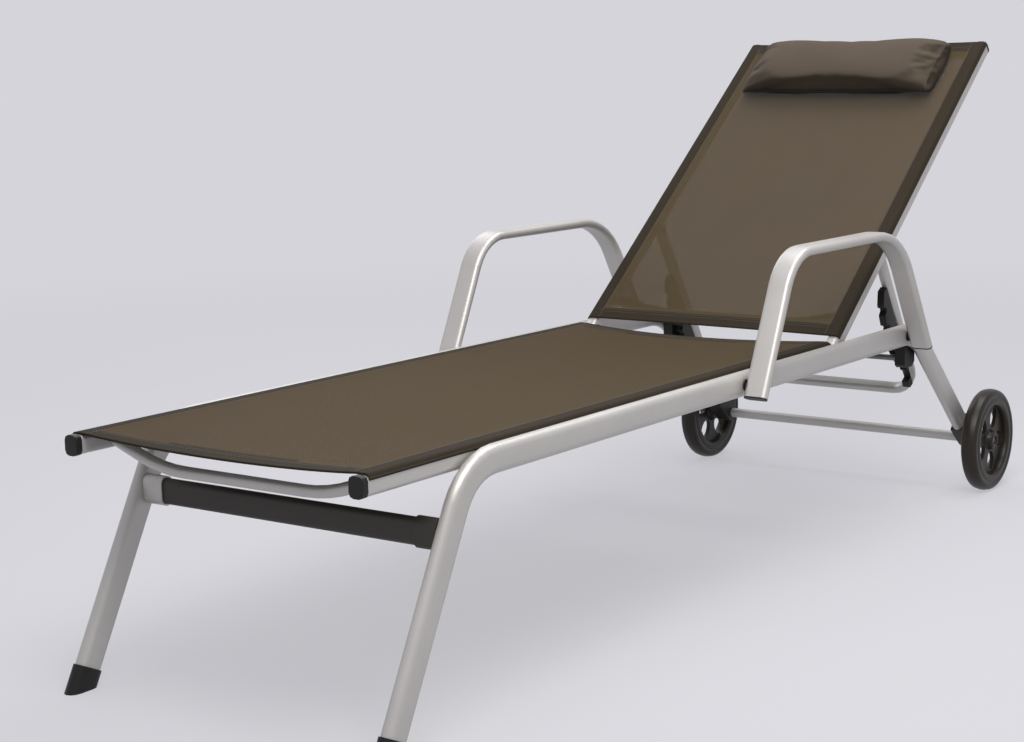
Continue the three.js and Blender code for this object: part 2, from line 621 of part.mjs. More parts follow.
// The front of the rack follows the rod's path, with a notch at every resting position.
const RACK_START = 90;
const RACK_BACK = STAY_DEPTH / 2 + GAP;
const NOTCHES = [88, 122, 156, 190, 224, 257];
const NOTCH_DEPTH = 8;
function rackOutline() {
  const path = [];
  for (let turn = RECLINE_DOWN; turn <= RECLINE_UP + 3; turn += 0.5) {
    path.push(rodSeenFromStay(turn));
  }
  const front = (along) => {
    const i = path.findIndex(([d]) => d >= along);
    const [d0, e0] = path[Math.max(i - 1, 0)];
    const [d1, e1] = path[i < 0 ? path.length - 1 : i];
    const t = d1 > d0 ? (along - d0) / (d1 - d0) : 0;
    return e0 + (e1 - e0) * t - ROD_RADIUS - 1.2;
  };
  const points = [[RACK_START, RACK_BACK]];
  points.push([RACK_START, front(RACK_START) - 6]);
  for (const notch of NOTCHES.slice(1)) {
    points.push([notch - 14, front(notch - 14)]);
    points.push([notch - 7, front(notch - 7)]);
    points.push([notch - 5, Math.max(front(notch) - NOTCH_DEPTH, RACK_BACK + 1.5)]);
    points.push([notch + 3, Math.max(front(notch) - NOTCH_DEPTH, RACK_BACK + 1.5)]);
    points.push([notch + 7, front(notch + 7)]);
  }
  points.push([275, RACK_BACK + 2], [287, RACK_BACK + 2]);
  points.push([288, 27], [300, 27], [303, 24], [303, RACK_BACK]);
  return points;
}
for (const [side, s] of sides) {
  const rack = plateX(rackOutline().map(([d, e]) => [d, -e]).reverse(), -6.5, 6.5);
  addPiece(stay, `stay_rack_${side}`, rack.translate(s * STAY_X, 0, 0), blackPlastic);
}

export default part;
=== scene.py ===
"""Reclining sun lounger: cloth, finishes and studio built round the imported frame.

Metres. X runs across the lounger, Y from the foot end to the head end, Z up.
"""

import json
import logging
import math
from dataclasses import dataclass, field
from enum import Enum
from typing import Iterable, Sequence

import bmesh
import bpy
import numpy as np
from mathutils import Matrix, Vector


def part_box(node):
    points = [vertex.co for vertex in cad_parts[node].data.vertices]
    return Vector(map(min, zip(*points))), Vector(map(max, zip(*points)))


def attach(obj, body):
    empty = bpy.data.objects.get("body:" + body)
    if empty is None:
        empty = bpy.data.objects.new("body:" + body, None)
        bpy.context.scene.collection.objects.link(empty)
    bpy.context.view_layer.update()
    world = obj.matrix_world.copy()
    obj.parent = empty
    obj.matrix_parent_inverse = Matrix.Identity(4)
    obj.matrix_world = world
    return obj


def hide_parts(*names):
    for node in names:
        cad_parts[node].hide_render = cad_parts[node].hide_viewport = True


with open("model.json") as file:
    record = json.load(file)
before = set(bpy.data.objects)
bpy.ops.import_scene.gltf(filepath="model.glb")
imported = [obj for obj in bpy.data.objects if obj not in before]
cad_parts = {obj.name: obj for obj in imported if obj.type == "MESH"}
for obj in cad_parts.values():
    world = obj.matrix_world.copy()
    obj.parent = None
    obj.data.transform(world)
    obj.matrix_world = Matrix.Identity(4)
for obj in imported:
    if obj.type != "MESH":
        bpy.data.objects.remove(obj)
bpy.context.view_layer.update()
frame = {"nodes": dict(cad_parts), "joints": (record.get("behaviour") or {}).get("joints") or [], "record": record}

Colour = tuple[float, float, float]
Outline = list[tuple[float, float]]
LOG = logging.getLogger("lounger")

MERGE_DISTANCE = 1e-6
SHARP_EDGE = math.radians(35.0)


class Side(Enum):
    """The two sides of the lounger, seen from its foot end."""

    LEFT = "left"
    RIGHT = "right"

    @property
    def sign(self) -> int:
        """-1 on the left, 1 on the right."""
        return -1 if self is Side.LEFT else 1


# ---------------------------------------------------------------- shaders


class Sock:
    """An output socket of a node that can be used in arithmetic."""

    def __init__(self, shader: "Shader", socket: bpy.types.NodeSocket) -> None:
        """Keeps the socket and the shader whose tree it belongs to."""
        self.shader = shader
        self.socket = socket

    def _math(self, operation: str, *values: "Sock | float") -> "Sock":
        """Adds a Math node of that operation on the values."""
        inputs = dict(enumerate(values))
        return self.shader.node("ShaderNodeMath", {"operation": operation}, inputs)

    def __add__(self, other: "Sock | float") -> "Sock":
        """Adds two values."""
        return self._math("ADD", self, other)

    __radd__ = __add__

    def __sub__(self, other: "Sock | float") -> "Sock":
        """Takes other from this value."""
        return self._math("SUBTRACT", self, other)

    def __rsub__(self, other: "Sock | float") -> "Sock":
        """Takes this value from other."""
        return self._math("SUBTRACT", other, self)

    def __mul__(self, other: "Sock | float") -> "Sock":
        """Multiplies two values."""
        return self._math("MULTIPLY", self, other)

    __rmul__ = __mul__

    def __truediv__(self, other: "Sock | float") -> "Sock":
        """Divides this value by other."""
        return self._math("DIVIDE", self, other)

    def __gt__(self, other: "Sock | float") -> "Sock":
        """1 where this value is above other, and 0 elsewhere."""
        return self._math("GREATER_THAN", self, other)

    def absolute(self) -> "Sock":
        """The value without its sign."""
        return self._math("ABSOLUTE", self)

    def fraction(self) -> "Sock":
        """The part of the value after the point."""
        return self._math("FRACT", self)

    def floor(self) -> "Sock":
        """The whole part of the value."""
        return self._math("FLOOR", self)

    def root(self) -> "Sock":
        """The square root of the value."""
        return self._math("SQRT", self)

    def largest(self, other: "Sock | float") -> "Sock":
        """The larger of two values."""
        return self._math("MAXIMUM", self, other)

    def modulo(self, other: float) -> "Sock":
        """What is left after dividing by other."""
        return self._math("MODULO", self, other)

    def span(self, low: float, high: float) -> "Sock":
        """0 below low, 1 above high and smooth between them.

        Args:
            low: the value that becomes 0.
            high: the value that becomes 1.

        Returns:
            The eased value.
        """
        settings = {"interpolation_type": "SMOOTHSTEP"}
        return self.shader.node("ShaderNodeMapRange", settings, {0: self, 1: low, 2: high})


class Shader:
    """One material's node tree, with a short way to add nodes."""

    def __init__(self, name: str) -> None:
        """Makes an empty material of that name."""
        self.material = bpy.data.materials.new(name)
        self.material.use_nodes = True
        self.tree = self.material.node_tree
        self.tree.nodes.clear()

    def node(self, kind: str, settings: dict | None = None, inputs: dict | None = None,
             output: int | str = 0) -> Sock:
        """Adds a node.

        Args:
            kind: the node's Blender type.
            settings: its properties, set before the sockets.
            inputs: socket name or number to a value or a Sock.
            output: the output socket to hand back.

        Returns:
            That output, wrapped for arithmetic.
        """
        made = self.tree.nodes.new(kind)
        for key, value in (settings or {}).items():
            setattr(made, key, value)
        for key, value in (inputs or {}).items():
            if isinstance(value, Sock):
                self.tree.links.new(value.socket, made.inputs[key])
            else:
                made.inputs[key].default_value = value
        return Sock(self, made.outputs[output])

    def place(self) -> Sock:
        """Where a point lies in its piece's own frame, in metres."""
        return self.node("ShaderNodeTexCoord", output="Object")

    def noise(self, where: Sock, scale: float, detail: float = 2.0, rough: float = 0.5) -> Sock:
        """Fractal noise from 0 to 1.

        Args:
            where: the coordinates.
            scale: cells in a metre.
            detail: octaves.
            rough: how strong the finer octaves are.

        Returns:
            The noise value.
        """
        inputs = {"Vector": where, "Scale": scale, "Detail": detail, "Roughness": rough}
        return self.node("ShaderNodeTexNoise", None, inputs)

    def split(self, vector: Sock) -> tuple[Sock, Sock, Sock]:
        """The three parts of a vector."""
        first = self.node("ShaderNodeSeparateXYZ", None, {0: vector})
        outputs = first.socket.node.outputs
        return first, Sock(self, outputs[1]), Sock(self, outputs[2])

    def stretch(self, vector: Sock, scale: Colour, turn: Colour = (0, 0, 0)) -> Sock:
        """Turns coordinates and scales them along each axis.

        Args:
            vector: the coordinates.
            scale: the factor along each axis.
            turn: the rotation in radians.

        Returns:
            The new coordinates.
        """
        return self.node("ShaderNodeMapping", None, {0: vector, 2: turn, 3: scale})

    def tint(self, factor: Sock, low: Colour, high: Colour) -> Sock:
        """A colour from low at 0 to high at 1.

        Args:
            factor: the mix.
            low: the colour at 0.
            high: the colour at 1.

        Returns:
            The mixed colour.
        """
        inputs = {0: factor, 6: (*low, 1), 7: (*high, 1)}
        return self.node("ShaderNodeMix", {"data_type": "RGBA"}, inputs, output=2)

    def blend(self, factor: Sock, low: Sock, high: Sock) -> Sock:
        """Mixes two linked colours by a factor."""
        inputs = {0: factor, 6: low, 7: high}
        return self.node("ShaderNodeMix", {"data_type": "RGBA"}, inputs, output=2)

    def bump(self, height: Sock, distance: float, strength: float = 1.0) -> Sock:
        """A surface normal bumped by a height."""
        inputs = {"Height": height, "Distance": distance, "Strength": strength}
        return self.node("ShaderNodeBump", None, inputs)

    def finish(self, sockets: dict) -> bpy.types.Material:
        """Adds the surface shader and the output.

        Args:
            sockets: the surface shader's socket names to values or links.

        Returns:
            The finished material.
        """
        surface = self.node("ShaderNodeBsdfPrincipled", None, sockets)
        self.node_output(surface)
        return self.material

    def node_output(self, surface: Sock) -> None:
        """Adds the material output, fed by a surface."""
        out = self.tree.nodes.new("ShaderNodeOutputMaterial")
        self.tree.links.new(surface.socket, out.inputs["Surface"])


@dataclass(frozen=True)
class CoatedMetal:
    """Aluminium tube under a thin coat with fine metal flake."""

    name: str
    dark: Colour
    light: Colour
    metallic: float = 0.5
    roughness: float = 0.36
    wear: float = 0.12
    cloud_scale: float = 7.0
    flake_scale: float = 1900.0
    peel_scale: float = 260.0
    grime_scale: float = 38.0
    streaks: Colour = (900.0, 26.0, 900.0)

    def build(self) -> bpy.types.Material:
        """Clouded colour, flake sparkle, orange peel and faint rubbed streaks."""
        sh = Shader(self.name)
        where = sh.place()
        cloud = sh.noise(where, self.cloud_scale, 4.0, 0.6)
        flake = sh.noise(where, self.flake_scale, 1.0)
        peel = sh.noise(where, self.peel_scale, 2.0)
        rubbed = sh.noise(sh.stretch(where, self.streaks), 1.0, 3.0, 0.6).span(0.6, 0.78)
        grime = sh.noise(where, self.grime_scale, 5.0, 0.7).span(0.56, 0.8)
        mix = cloud * 0.6 + flake * 0.45 - 0.05
        tone = sh.tint(mix, self.dark, self.light)
        worn = tuple(0.86 * c for c in self.dark)
        tone = sh.blend(grime * self.wear, tone, sh.tint(grime, worn, self.dark))
        rough = self.roughness + cloud * 0.1 - rubbed * 0.06 + grime * 0.09
        height = peel * 0.5 + flake * 0.22 - rubbed * 0.25
        return sh.finish({
            "Base Color": tone,
            "Roughness": rough,
            "Metallic": self.metallic,
            "Normal": sh.bump(height, 0.00012, 0.55),
        })


@dataclass(frozen=True)
class PlainSteel:
    """Drawn steel rod and bolts with fine turning lines."""

    name: str
    dark: Colour
    light: Colour
    roughness: float = 0.38
    drawn_lines: Colour = (30.0, 2600.0, 2600.0)
    mottle_scale: float = 60.0
    pit_scale: float = 1400.0

    def build(self) -> bpy.types.Material:
        """Fine drawn lines, a mottled oxide tone and small pits."""
        sh = Shader(self.name)
        where = sh.place()
        drawn = sh.noise(sh.stretch(where, self.drawn_lines), 1.0, 3.0, 0.6)
        mottle = sh.noise(where, self.mottle_scale, 4.0, 0.65)
        pits = sh.noise(where, self.pit_scale, 2.0).span(0.66, 0.8)
        return sh.finish({
            "Base Color": sh.tint(mottle * 0.7 + drawn * 0.3, self.dark, self.light),
            "Roughness": self.roughness + mottle * 0.16 + pits * 0.2,
            "Metallic": 0.92,
            "Normal": sh.bump(drawn * 0.4 - pits, 0.00006, 0.6),
        })


@dataclass(frozen=True)
class MouldedPlastic:
    """Injection-moulded plastic with a spark-eroded grain."""

    name: str
    dark: Colour
    light: Colour
    roughness: float = 0.5
    grain_scale: float = 1250.0
    cloud_scale: float = 22.0
    dust_scale: float = 95.0
    dust: float = 0.3

    def build(self) -> bpy.types.Material:
        """Fine mould grain, handling sheen and a little dust."""
        sh = Shader(self.name)
        where = sh.place()
        grain = sh.node("ShaderNodeTexVoronoi", {"feature": "SMOOTH_F1"},
                        {"Vector": where, "Scale": self.grain_scale})
        cloud = sh.noise(where, self.cloud_scale, 4.0, 0.6)
        dust = sh.noise(where, self.dust_scale, 5.0, 0.75).span(0.55, 0.85) * self.dust
        tone = sh.tint(cloud, self.dark, self.light)
        dusty = tuple(min(1.0, 2.4 * c + 0.02) for c in self.light)
        tone = sh.blend(dust, tone, sh.tint(cloud, self.light, dusty))
        return sh.finish({
            "Base Color": tone,
            "Roughness": self.roughness + dust * 0.35 - cloud * 0.12,
            "Specular IOR Level": 0.3,
            "Normal": sh.bump(grain + cloud * 0.3, 0.00009, 0.5),
        })


@dataclass(frozen=True)
class SlingCloth:
    """Open weave of coated polyester yarn, closed where the cloth is doubled."""

    name: str
    warp: Colour
    weft: Colour
    edge: Colour
    pitch: float = 0.0022
    cover: float = 0.74
    streaks: Colour = (260.0, 5.0, 1.0)
    bars: Colour = (4.0, 240.0, 1.0)
    cloud_scale: float = 5.0

    def build(self) -> bpy.types.Material:
        """A plain weave over the piece's own cloth coordinates, with open pores."""
        sh = Shader(self.name)
        cloth = sh.node("ShaderNodeAttribute", {"attribute_name": "cloth"}, output="Vector")
        across, along, doubled = sh.split(cloth)
        column = across / self.pitch
        row = along / self.pitch
        from_warp = (column.fraction() - 0.5).absolute() * (2.0 / self.cover)
        from_weft = (row.fraction() - 0.5).absolute() * (2.0 / self.cover)
        over = (column.floor() + row.floor()).modulo(2.0).absolute()
        warp_top = (1.0 - from_warp * from_warp).largest(0.0).root() * (over * 0.5 + 0.5)
        weft_top = (1.0 - from_weft * from_weft).largest(0.0).root() * (1.0 - over * 0.5)
        is_warp = warp_top > weft_top
        pore = (from_warp > 1.0) * (from_weft > 1.0) * (1.0 - doubled.span(0.35, 0.65))
        where = sh.place()
        streak = sh.noise(sh.stretch(cloth, self.streaks), 1.0, 3.0, 0.6)
        bar = sh.noise(sh.stretch(cloth, self.bars), 1.0, 3.0, 0.6)
        cloud = sh.noise(where, self.cloud_scale, 4.0, 0.6)
        yarn = sh.blend(is_warp, sh.tint(bar, self.weft, tuple(1.22 * c for c in self.weft)),
                        sh.tint(streak, self.warp, tuple(1.25 * c for c in self.warp)))
        shade = sh.tint(cloud, (0.86, 0.85, 0.84), (1.08, 1.08, 1.09))
        tone = sh.node("ShaderNodeMix", {"data_type": "RGBA", "blend_type": "MULTIPLY"},
                       {0: 1.0, 6: yarn, 7: shade}, output=2)
        border = sh.tint(streak, self.edge, tuple(1.3 * c for c in self.edge))
        tone = sh.blend(doubled.span(0.3, 0.7) * 0.92, tone, border)
        height = warp_top.largest(weft_top)
        return sh.finish({
            "Base Color": tone,
            "Roughness": 0.74 + cloud * 0.12 - height * 0.08,
            "Alpha": 1.0 - pore,
            "Specular IOR Level": 0.12,
            "Normal": sh.bump(height, 0.00045, 0.8),
        })


@dataclass(frozen=True)
class PillowCloth:
    """Soft cover of the same yarn, woven closer, on a tilted pad, with painted light and shade in its colour."""

    name: str
    low: Colour
    high: Colour
    tilt: float
    pitch: float = 0.0019
    cloud_scale: float = 14.0
    fibre_scale: float = 900.0
    painted_light_share: float = 0.65

    def build(self) -> bpy.types.Material:
        """A close weave laid along the backrest, with painted light where the cover faces up in the world and
        painted shade where it faces down.
        """
        sh = Shader(self.name)
        where = sh.place()
        laid = sh.stretch(where, (1.0, 1.0, 1.0), (-self.tilt, 0.0, 0.0))
        across, along, _ = sh.split(laid)
        column = across / self.pitch
        row = along / self.pitch
        ridge = (column.fraction() - 0.5).absolute() + (row.fraction() - 0.5).absolute()
        over = (column.floor() + row.floor()).modulo(2.0).absolute()
        cloud = sh.noise(where, self.cloud_scale, 5.0, 0.6)
        fibre = sh.noise(where, self.fibre_scale, 3.0, 0.7)
        # Painted light and shade: how far the surface faces up in the world lightens the base colour.
        facing_up_painted_light = sh.split(sh.node("ShaderNodeNewGeometry", output="Normal"))[2].span(0.2, 0.92)
        mottle = cloud * 0.3 + fibre * 0.2 + over * 0.15
        tone = sh.tint(facing_up_painted_light * self.painted_light_share + mottle * 0.55 - 0.1, self.low, self.high)
        return sh.finish({
            "Base Color": tone,
            "Roughness": 0.8 + fibre * 0.12,
            "Sheen Weight": 0.03,
            "Sheen Roughness": 0.45,
            "Specular IOR Level": 0.12,
            "Normal": sh.bump(1.0 - ridge + fibre * 0.35, 0.00038, 0.8),
        })


@dataclass(frozen=True)
class SewingThread:
    """Twisted polyester thread."""

    name: str
    low: Colour
    high: Colour
    twist_scale: float = 420.0

    def build(self) -> bpy.types.Material:
        """Twisted strands, as colour and as a bump."""
        sh = Shader(self.name)
        where = sh.place()
        inputs = {"Vector": where, "Scale": self.twist_scale, "Distortion": 1.0}
        twist = sh.node("ShaderNodeTexWave", None, inputs, output=1)
        return sh.finish({
            "Base Color": sh.tint(twist, self.low, self.high),
            "Roughness": 0.55 + twist * 0.1,
            "Normal": sh.bump(twist, 0.0001, 0.7),
        })


@dataclass
class Finishes:
    """Every finish of the lounger, built once."""

    tilt: float
    made: dict = field(default_factory=dict)

    def __post_init__(self) -> None:
        """Builds the materials."""
        kinds = [
            CoatedMetal("silver_coat", (0.37, 0.355, 0.338), (0.52, 0.503, 0.482)),
            # Painted shade: this near-black coat on the dark_coating parts, the front crossbar and the right
            # saddle sleeve, stands in for the shade under the seat.
            CoatedMetal("bronze_coat", (0.017, 0.014, 0.010), (0.030, 0.026, 0.020), 0.1, 0.5),
            PlainSteel("dark_steel", (0.12, 0.115, 0.11), (0.24, 0.23, 0.22)),
            MouldedPlastic("black_plastic", (0.004, 0.0036, 0.003), (0.009, 0.008, 0.007), 0.52),
            MouldedPlastic("wheel_plastic", (0.009, 0.0065, 0.004), (0.019, 0.0145, 0.009),
                           0.44, 900.0),
            SlingCloth("sling_cloth", (0.053, 0.036, 0.016), (0.042, 0.028, 0.012),
                       (0.016, 0.012, 0.007)),
            # The pillow's dark and pale colours are the painted shade and painted light ends of its tint.
            PillowCloth("pillow_cloth", (0.013, 0.009, 0.0055), (0.088, 0.069, 0.050), self.tilt),
            SewingThread("thread", (0.045, 0.038, 0.030), (0.095, 0.082, 0.066)),
        ]
        for kind in kinds:
            self.made[kind.name] = kind.build()

    def __getitem__(self, name: str) -> bpy.types.Material:
        """The material of that name."""
        return self.made[name]


# ---------------------------------------------------------------- mesh tools


def link_mesh(name: str, mesh: bpy.types.Mesh, material: bpy.types.Material) -> bpy.types.Object:
    """Shades a mesh smoothly, dresses it and links it as an object.

    Args:
        name: the object's name.
        mesh: its mesh.
        material: its finish.

    Returns:
        The new object.
    """
    mesh.shade_smooth()
    mesh.materials.append(material)
    piece = bpy.data.objects.new(name, mesh)
    bpy.context.scene.collection.objects.link(piece)
    return piece


def evaluated_mesh(piece: bpy.types.Object) -> bpy.types.Mesh:
    """A new mesh of the object as its modifiers leave it."""
    graph = bpy.context.evaluated_depsgraph_get()
    return bpy.data.meshes.new_from_object(piece.evaluated_get(graph))


def circle(radius: float, steps: int) -> Outline:
    """Points round a circle about the origin."""
    angles = [math.tau * k / steps for k in range(steps)]
    return [(radius * math.cos(a), radius * math.sin(a)) for a in angles]


def make_piece(name: str, points: Iterable[Sequence[float]], faces: Iterable[Sequence[int]],
               material: bpy.types.Material) -> bpy.types.Object:
    """Makes a smooth-shaded mesh object with outward faces.

    Args:
        name: the piece's name.
        points: its vertices in the lounger's frame.
        faces: vertex numbers of each face.
        material: its finish.

    Returns:
        The new object, linked to the scene.
    """
    mesh = bpy.data.meshes.new(name)
    mesh.from_pydata([tuple(p) for p in points], [], [tuple(f) for f in faces])
    work = bmesh.new()
    work.from_mesh(mesh)
    bmesh.ops.remove_doubles(work, verts=work.verts, dist=MERGE_DISTANCE)
    bmesh.ops.recalc_face_normals(work, faces=work.faces)
    work.to_mesh(mesh)
    work.free()
    return link_mesh(name, mesh, material)


def round_edges(piece: bpy.types.Object, width: float) -> None:
    """Adds a small rounded edge and even shading to a hard piece.

    Args:
        piece: the piece.
        width: the rounding in metres.
    """
    weld = piece.modifiers.new("weld", "WELD")
    weld.merge_threshold = 2 * MERGE_DISTANCE
    bevel = piece.modifiers.new("edge", "BEVEL")
    bevel.width = width
    bevel.segments = 2
    bevel.limit_method = "ANGLE"
    bevel.angle_limit = SHARP_EDGE
    bevel.harden_normals = False
    even = piece.modifiers.new("even", "WEIGHTED_NORMAL")
    even.keep_sharp = False
    even.weight = 80


def grid_faces(rows: int, columns: int) -> list[tuple[int, ...]]:
    """Quads of a grid of points listed row by row.

    Args:
        rows: points along.
        columns: points across.

    Returns:
        The faces.
    """
    corners = [i * columns + j for i in range(rows - 1) for j in range(columns - 1)]
    return [(a, a + 1, a + columns + 1, a + columns) for a in corners]


# ---------------------------------------------------------------- carried-over metal and plastic


@dataclass
class HardParts:
    """The frame's own tubes, rods and mouldings, dressed in their finishes."""

    finishes: Finishes
    slot_finish: dict = field(default_factory=lambda: {
        "silver_aluminium": "silver_coat",
        # The dark_coating parts get the near-black coat that is painted shade.
        "dark_coating": "bronze_coat",
        "dark_steel": "dark_steel",
        "black_plastic": "black_plastic",
        "wheel_plastic": "wheel_plastic",
    })
    rebuilt: tuple[str, ...] = ("wheel_left", "wheel_right", "hub_cap_left", "hub_cap_right")
    tube_edge: float = 0.0005
    part_edge: float = 0.0007

    def dress(self) -> None:
        """Gives each shown node its finish, a fine rounded edge and smooth shading."""
        for entry in frame["record"]["subparts"]:
            name, slot = entry["node"], entry["material_slot"]
            if slot not in self.slot_finish or name in self.rebuilt:
                continue
            node = frame["nodes"][name]
            finish = self.slot_finish[slot]
            node.data.materials.clear()
            node.data.materials.append(self.finishes[finish])
            custom = node.data.attributes.get("custom_normal")
            if custom:
                node.data.attributes.remove(custom)
            node.data.shade_smooth()
            edge = self.tube_edge if slot == "silver_aluminium" else self.part_edge
            round_edges(node, edge)
            LOG.info("dressed %s in %s", name, finish)


@dataclass
class Wheel:
    """One moulded wheel: thick rounded rim, thin web with oval openings, stepped hub."""

    side: Side
    centre: Vector
    radius: float
    width: float
    first_opening: float
    finishes: Finishes
    rim_share: float = 0.67
    web: float = 0.008
    opening_ring: float = 0.0425
    opening_long: float = 0.0195
    opening_short: float = 0.0135
    openings: int = 5
    segments: int = 112
    bore: float = 0.0053
    crown: float = 0.0012
    shoulder: float = 0.008
    web_edge: float = 0.0014
    web_overlap: float = 0.003

    def lathe(self, profile: Outline) -> tuple[list, list]:
        """Turns a closed profile about the axle.

        Args:
            profile: points as (radius, place along the axle).

        Returns:
            Vertices and faces.
        """
        points, faces = [], []
        n = len(profile)
        for c, s in circle(1.0, self.segments):
            points += [(along, radius * c, radius * s) for radius, along in profile]
        for k in range(self.segments):
            nxt = (k + 1) % self.segments
            for i in range(n):
                j = (i + 1) % n
                faces.append((k * n + i, k * n + j, nxt * n + j, nxt * n + i))
        return points, faces

    def rim_profile(self) -> Outline:
        """The rim's section: a crowned tread, two shoulders and a stepped inner wall."""
        half, r = self.width / 2, self.radius
        inner = self.rim_share * r
        flat = half - self.shoulder
        tread = [(r - self.crown * s * s, s * flat) for s in (-1 + k / 4 for k in range(9))]
        shoulder = []
        for angle in (math.pi / 2 * k / 5 for k in range(1, 6)):
            shoulder.append((r - self.crown - self.shoulder * (1 - math.cos(angle)),
                             flat + self.shoulder * math.sin(angle)))
        wall = [
            (r - 0.012, half), (r - 0.0145, half - 0.0012), (r - 0.0165, half - 0.0012),
            (r - 0.019, half), (inner + 0.005, half), (inner + 0.0025, half - 0.0012),
            (inner + 0.0008, half - 0.0045), (inner, half - 0.009),
        ]
        far = [(radius, -along) for radius, along in reversed(shoulder + wall)]
        return tread + shoulder + wall + far

    def hub_profile(self) -> Outline:
        """The hub's section, with a cap on the outer side."""
        half = self.width / 2
        cap = [
            (self.bore, -0.001), (0.0088, -0.001), (0.0096, 0.0004), (0.0130, 0.0008),
            (0.0138, 0.0002), (0.0142, -0.001), (0.0156, -0.0012), (0.0162, -0.0024),
        ]
        waist = [
            (0.0176, 0.0062), (0.0196, 0.0044), (0.0212, 0.0036), (0.0212, -0.0036),
            (0.0182, -0.0052), (0.0164, 0.003 - half), (0.0154, 0.001 - half),
            (self.bore, 0.001 - half),
        ]
        return [(radius, half + along) for radius, along in cap] + waist

    def web_plate(self) -> bpy.types.Mesh:
        """The web with its oval openings, all edges rounded."""
        curve = bpy.data.curves.new("web", "CURVE")
        curve.dimensions = "2D"
        curve.fill_mode = "BOTH"
        curve.extrude = self.web / 2 - self.web_edge
        curve.bevel_depth = self.web_edge
        curve.bevel_resolution = 2
        curve.offset = -self.web_edge
        rings = [circle(self.rim_share * self.radius + self.web_overlap, 96)]
        for i in range(self.openings):
            turn = self.first_opening + math.tau * i / self.openings
            ring = []
            for c, s in circle(1.0, 40):
                out, side = self.opening_ring + self.opening_long * c, -self.opening_short * s
                ring.append((out * math.cos(turn) - side * math.sin(turn),
                             out * math.sin(turn) + side * math.cos(turn)))
            rings.append(ring)
        for ring in rings:
            spline = curve.splines.new("POLY")
            spline.points.add(len(ring) - 1)
            for point, (y, z) in zip(spline.points, ring):
                point.co = (y, z, 0.0, 1.0)
            spline.use_cyclic_u = True
        holder = bpy.data.objects.new("web", curve)
        bpy.context.scene.collection.objects.link(holder)
        mesh = evaluated_mesh(holder)
        bpy.data.objects.remove(holder)
        return mesh

    def build(self) -> bpy.types.Object:
        """Makes the wheel as one piece that spins with its body."""
        points, faces = self.lathe(self.rim_profile())
        hub_points, hub_faces = self.lathe(self.hub_profile())
        plate = self.web_plate()
        outward = [(self.side.sign * x, y, z) for x, y, z in hub_points]
        web_points = [(v.co.z, v.co.x, v.co.y) for v in plate.vertices]
        web_faces = [tuple(polygon.vertices) for polygon in plate.polygons]
        for more_points, more_faces in ((outward, hub_faces), (web_points, web_faces)):
            base = len(points)
            points += more_points
            faces += [tuple(base + i for i in face) for face in more_faces]
        placed = [self.centre + Vector(p) for p in points]
        name = f"moulded_wheel_{self.side.value}"
        piece = make_piece(name, placed, faces, self.finishes["wheel_plastic"])
        even = piece.modifiers.new("even", "WEIGHTED_NORMAL")
        even.keep_sharp = False
        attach(piece, f"{self.side.value}_wheel")
        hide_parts(f"wheel_{self.side.value}", f"hub_cap_{self.side.value}")
        LOG.info("wheel %s: %d faces", name, len(faces))
        return piece


# ---------------------------------------------------------------- cloth


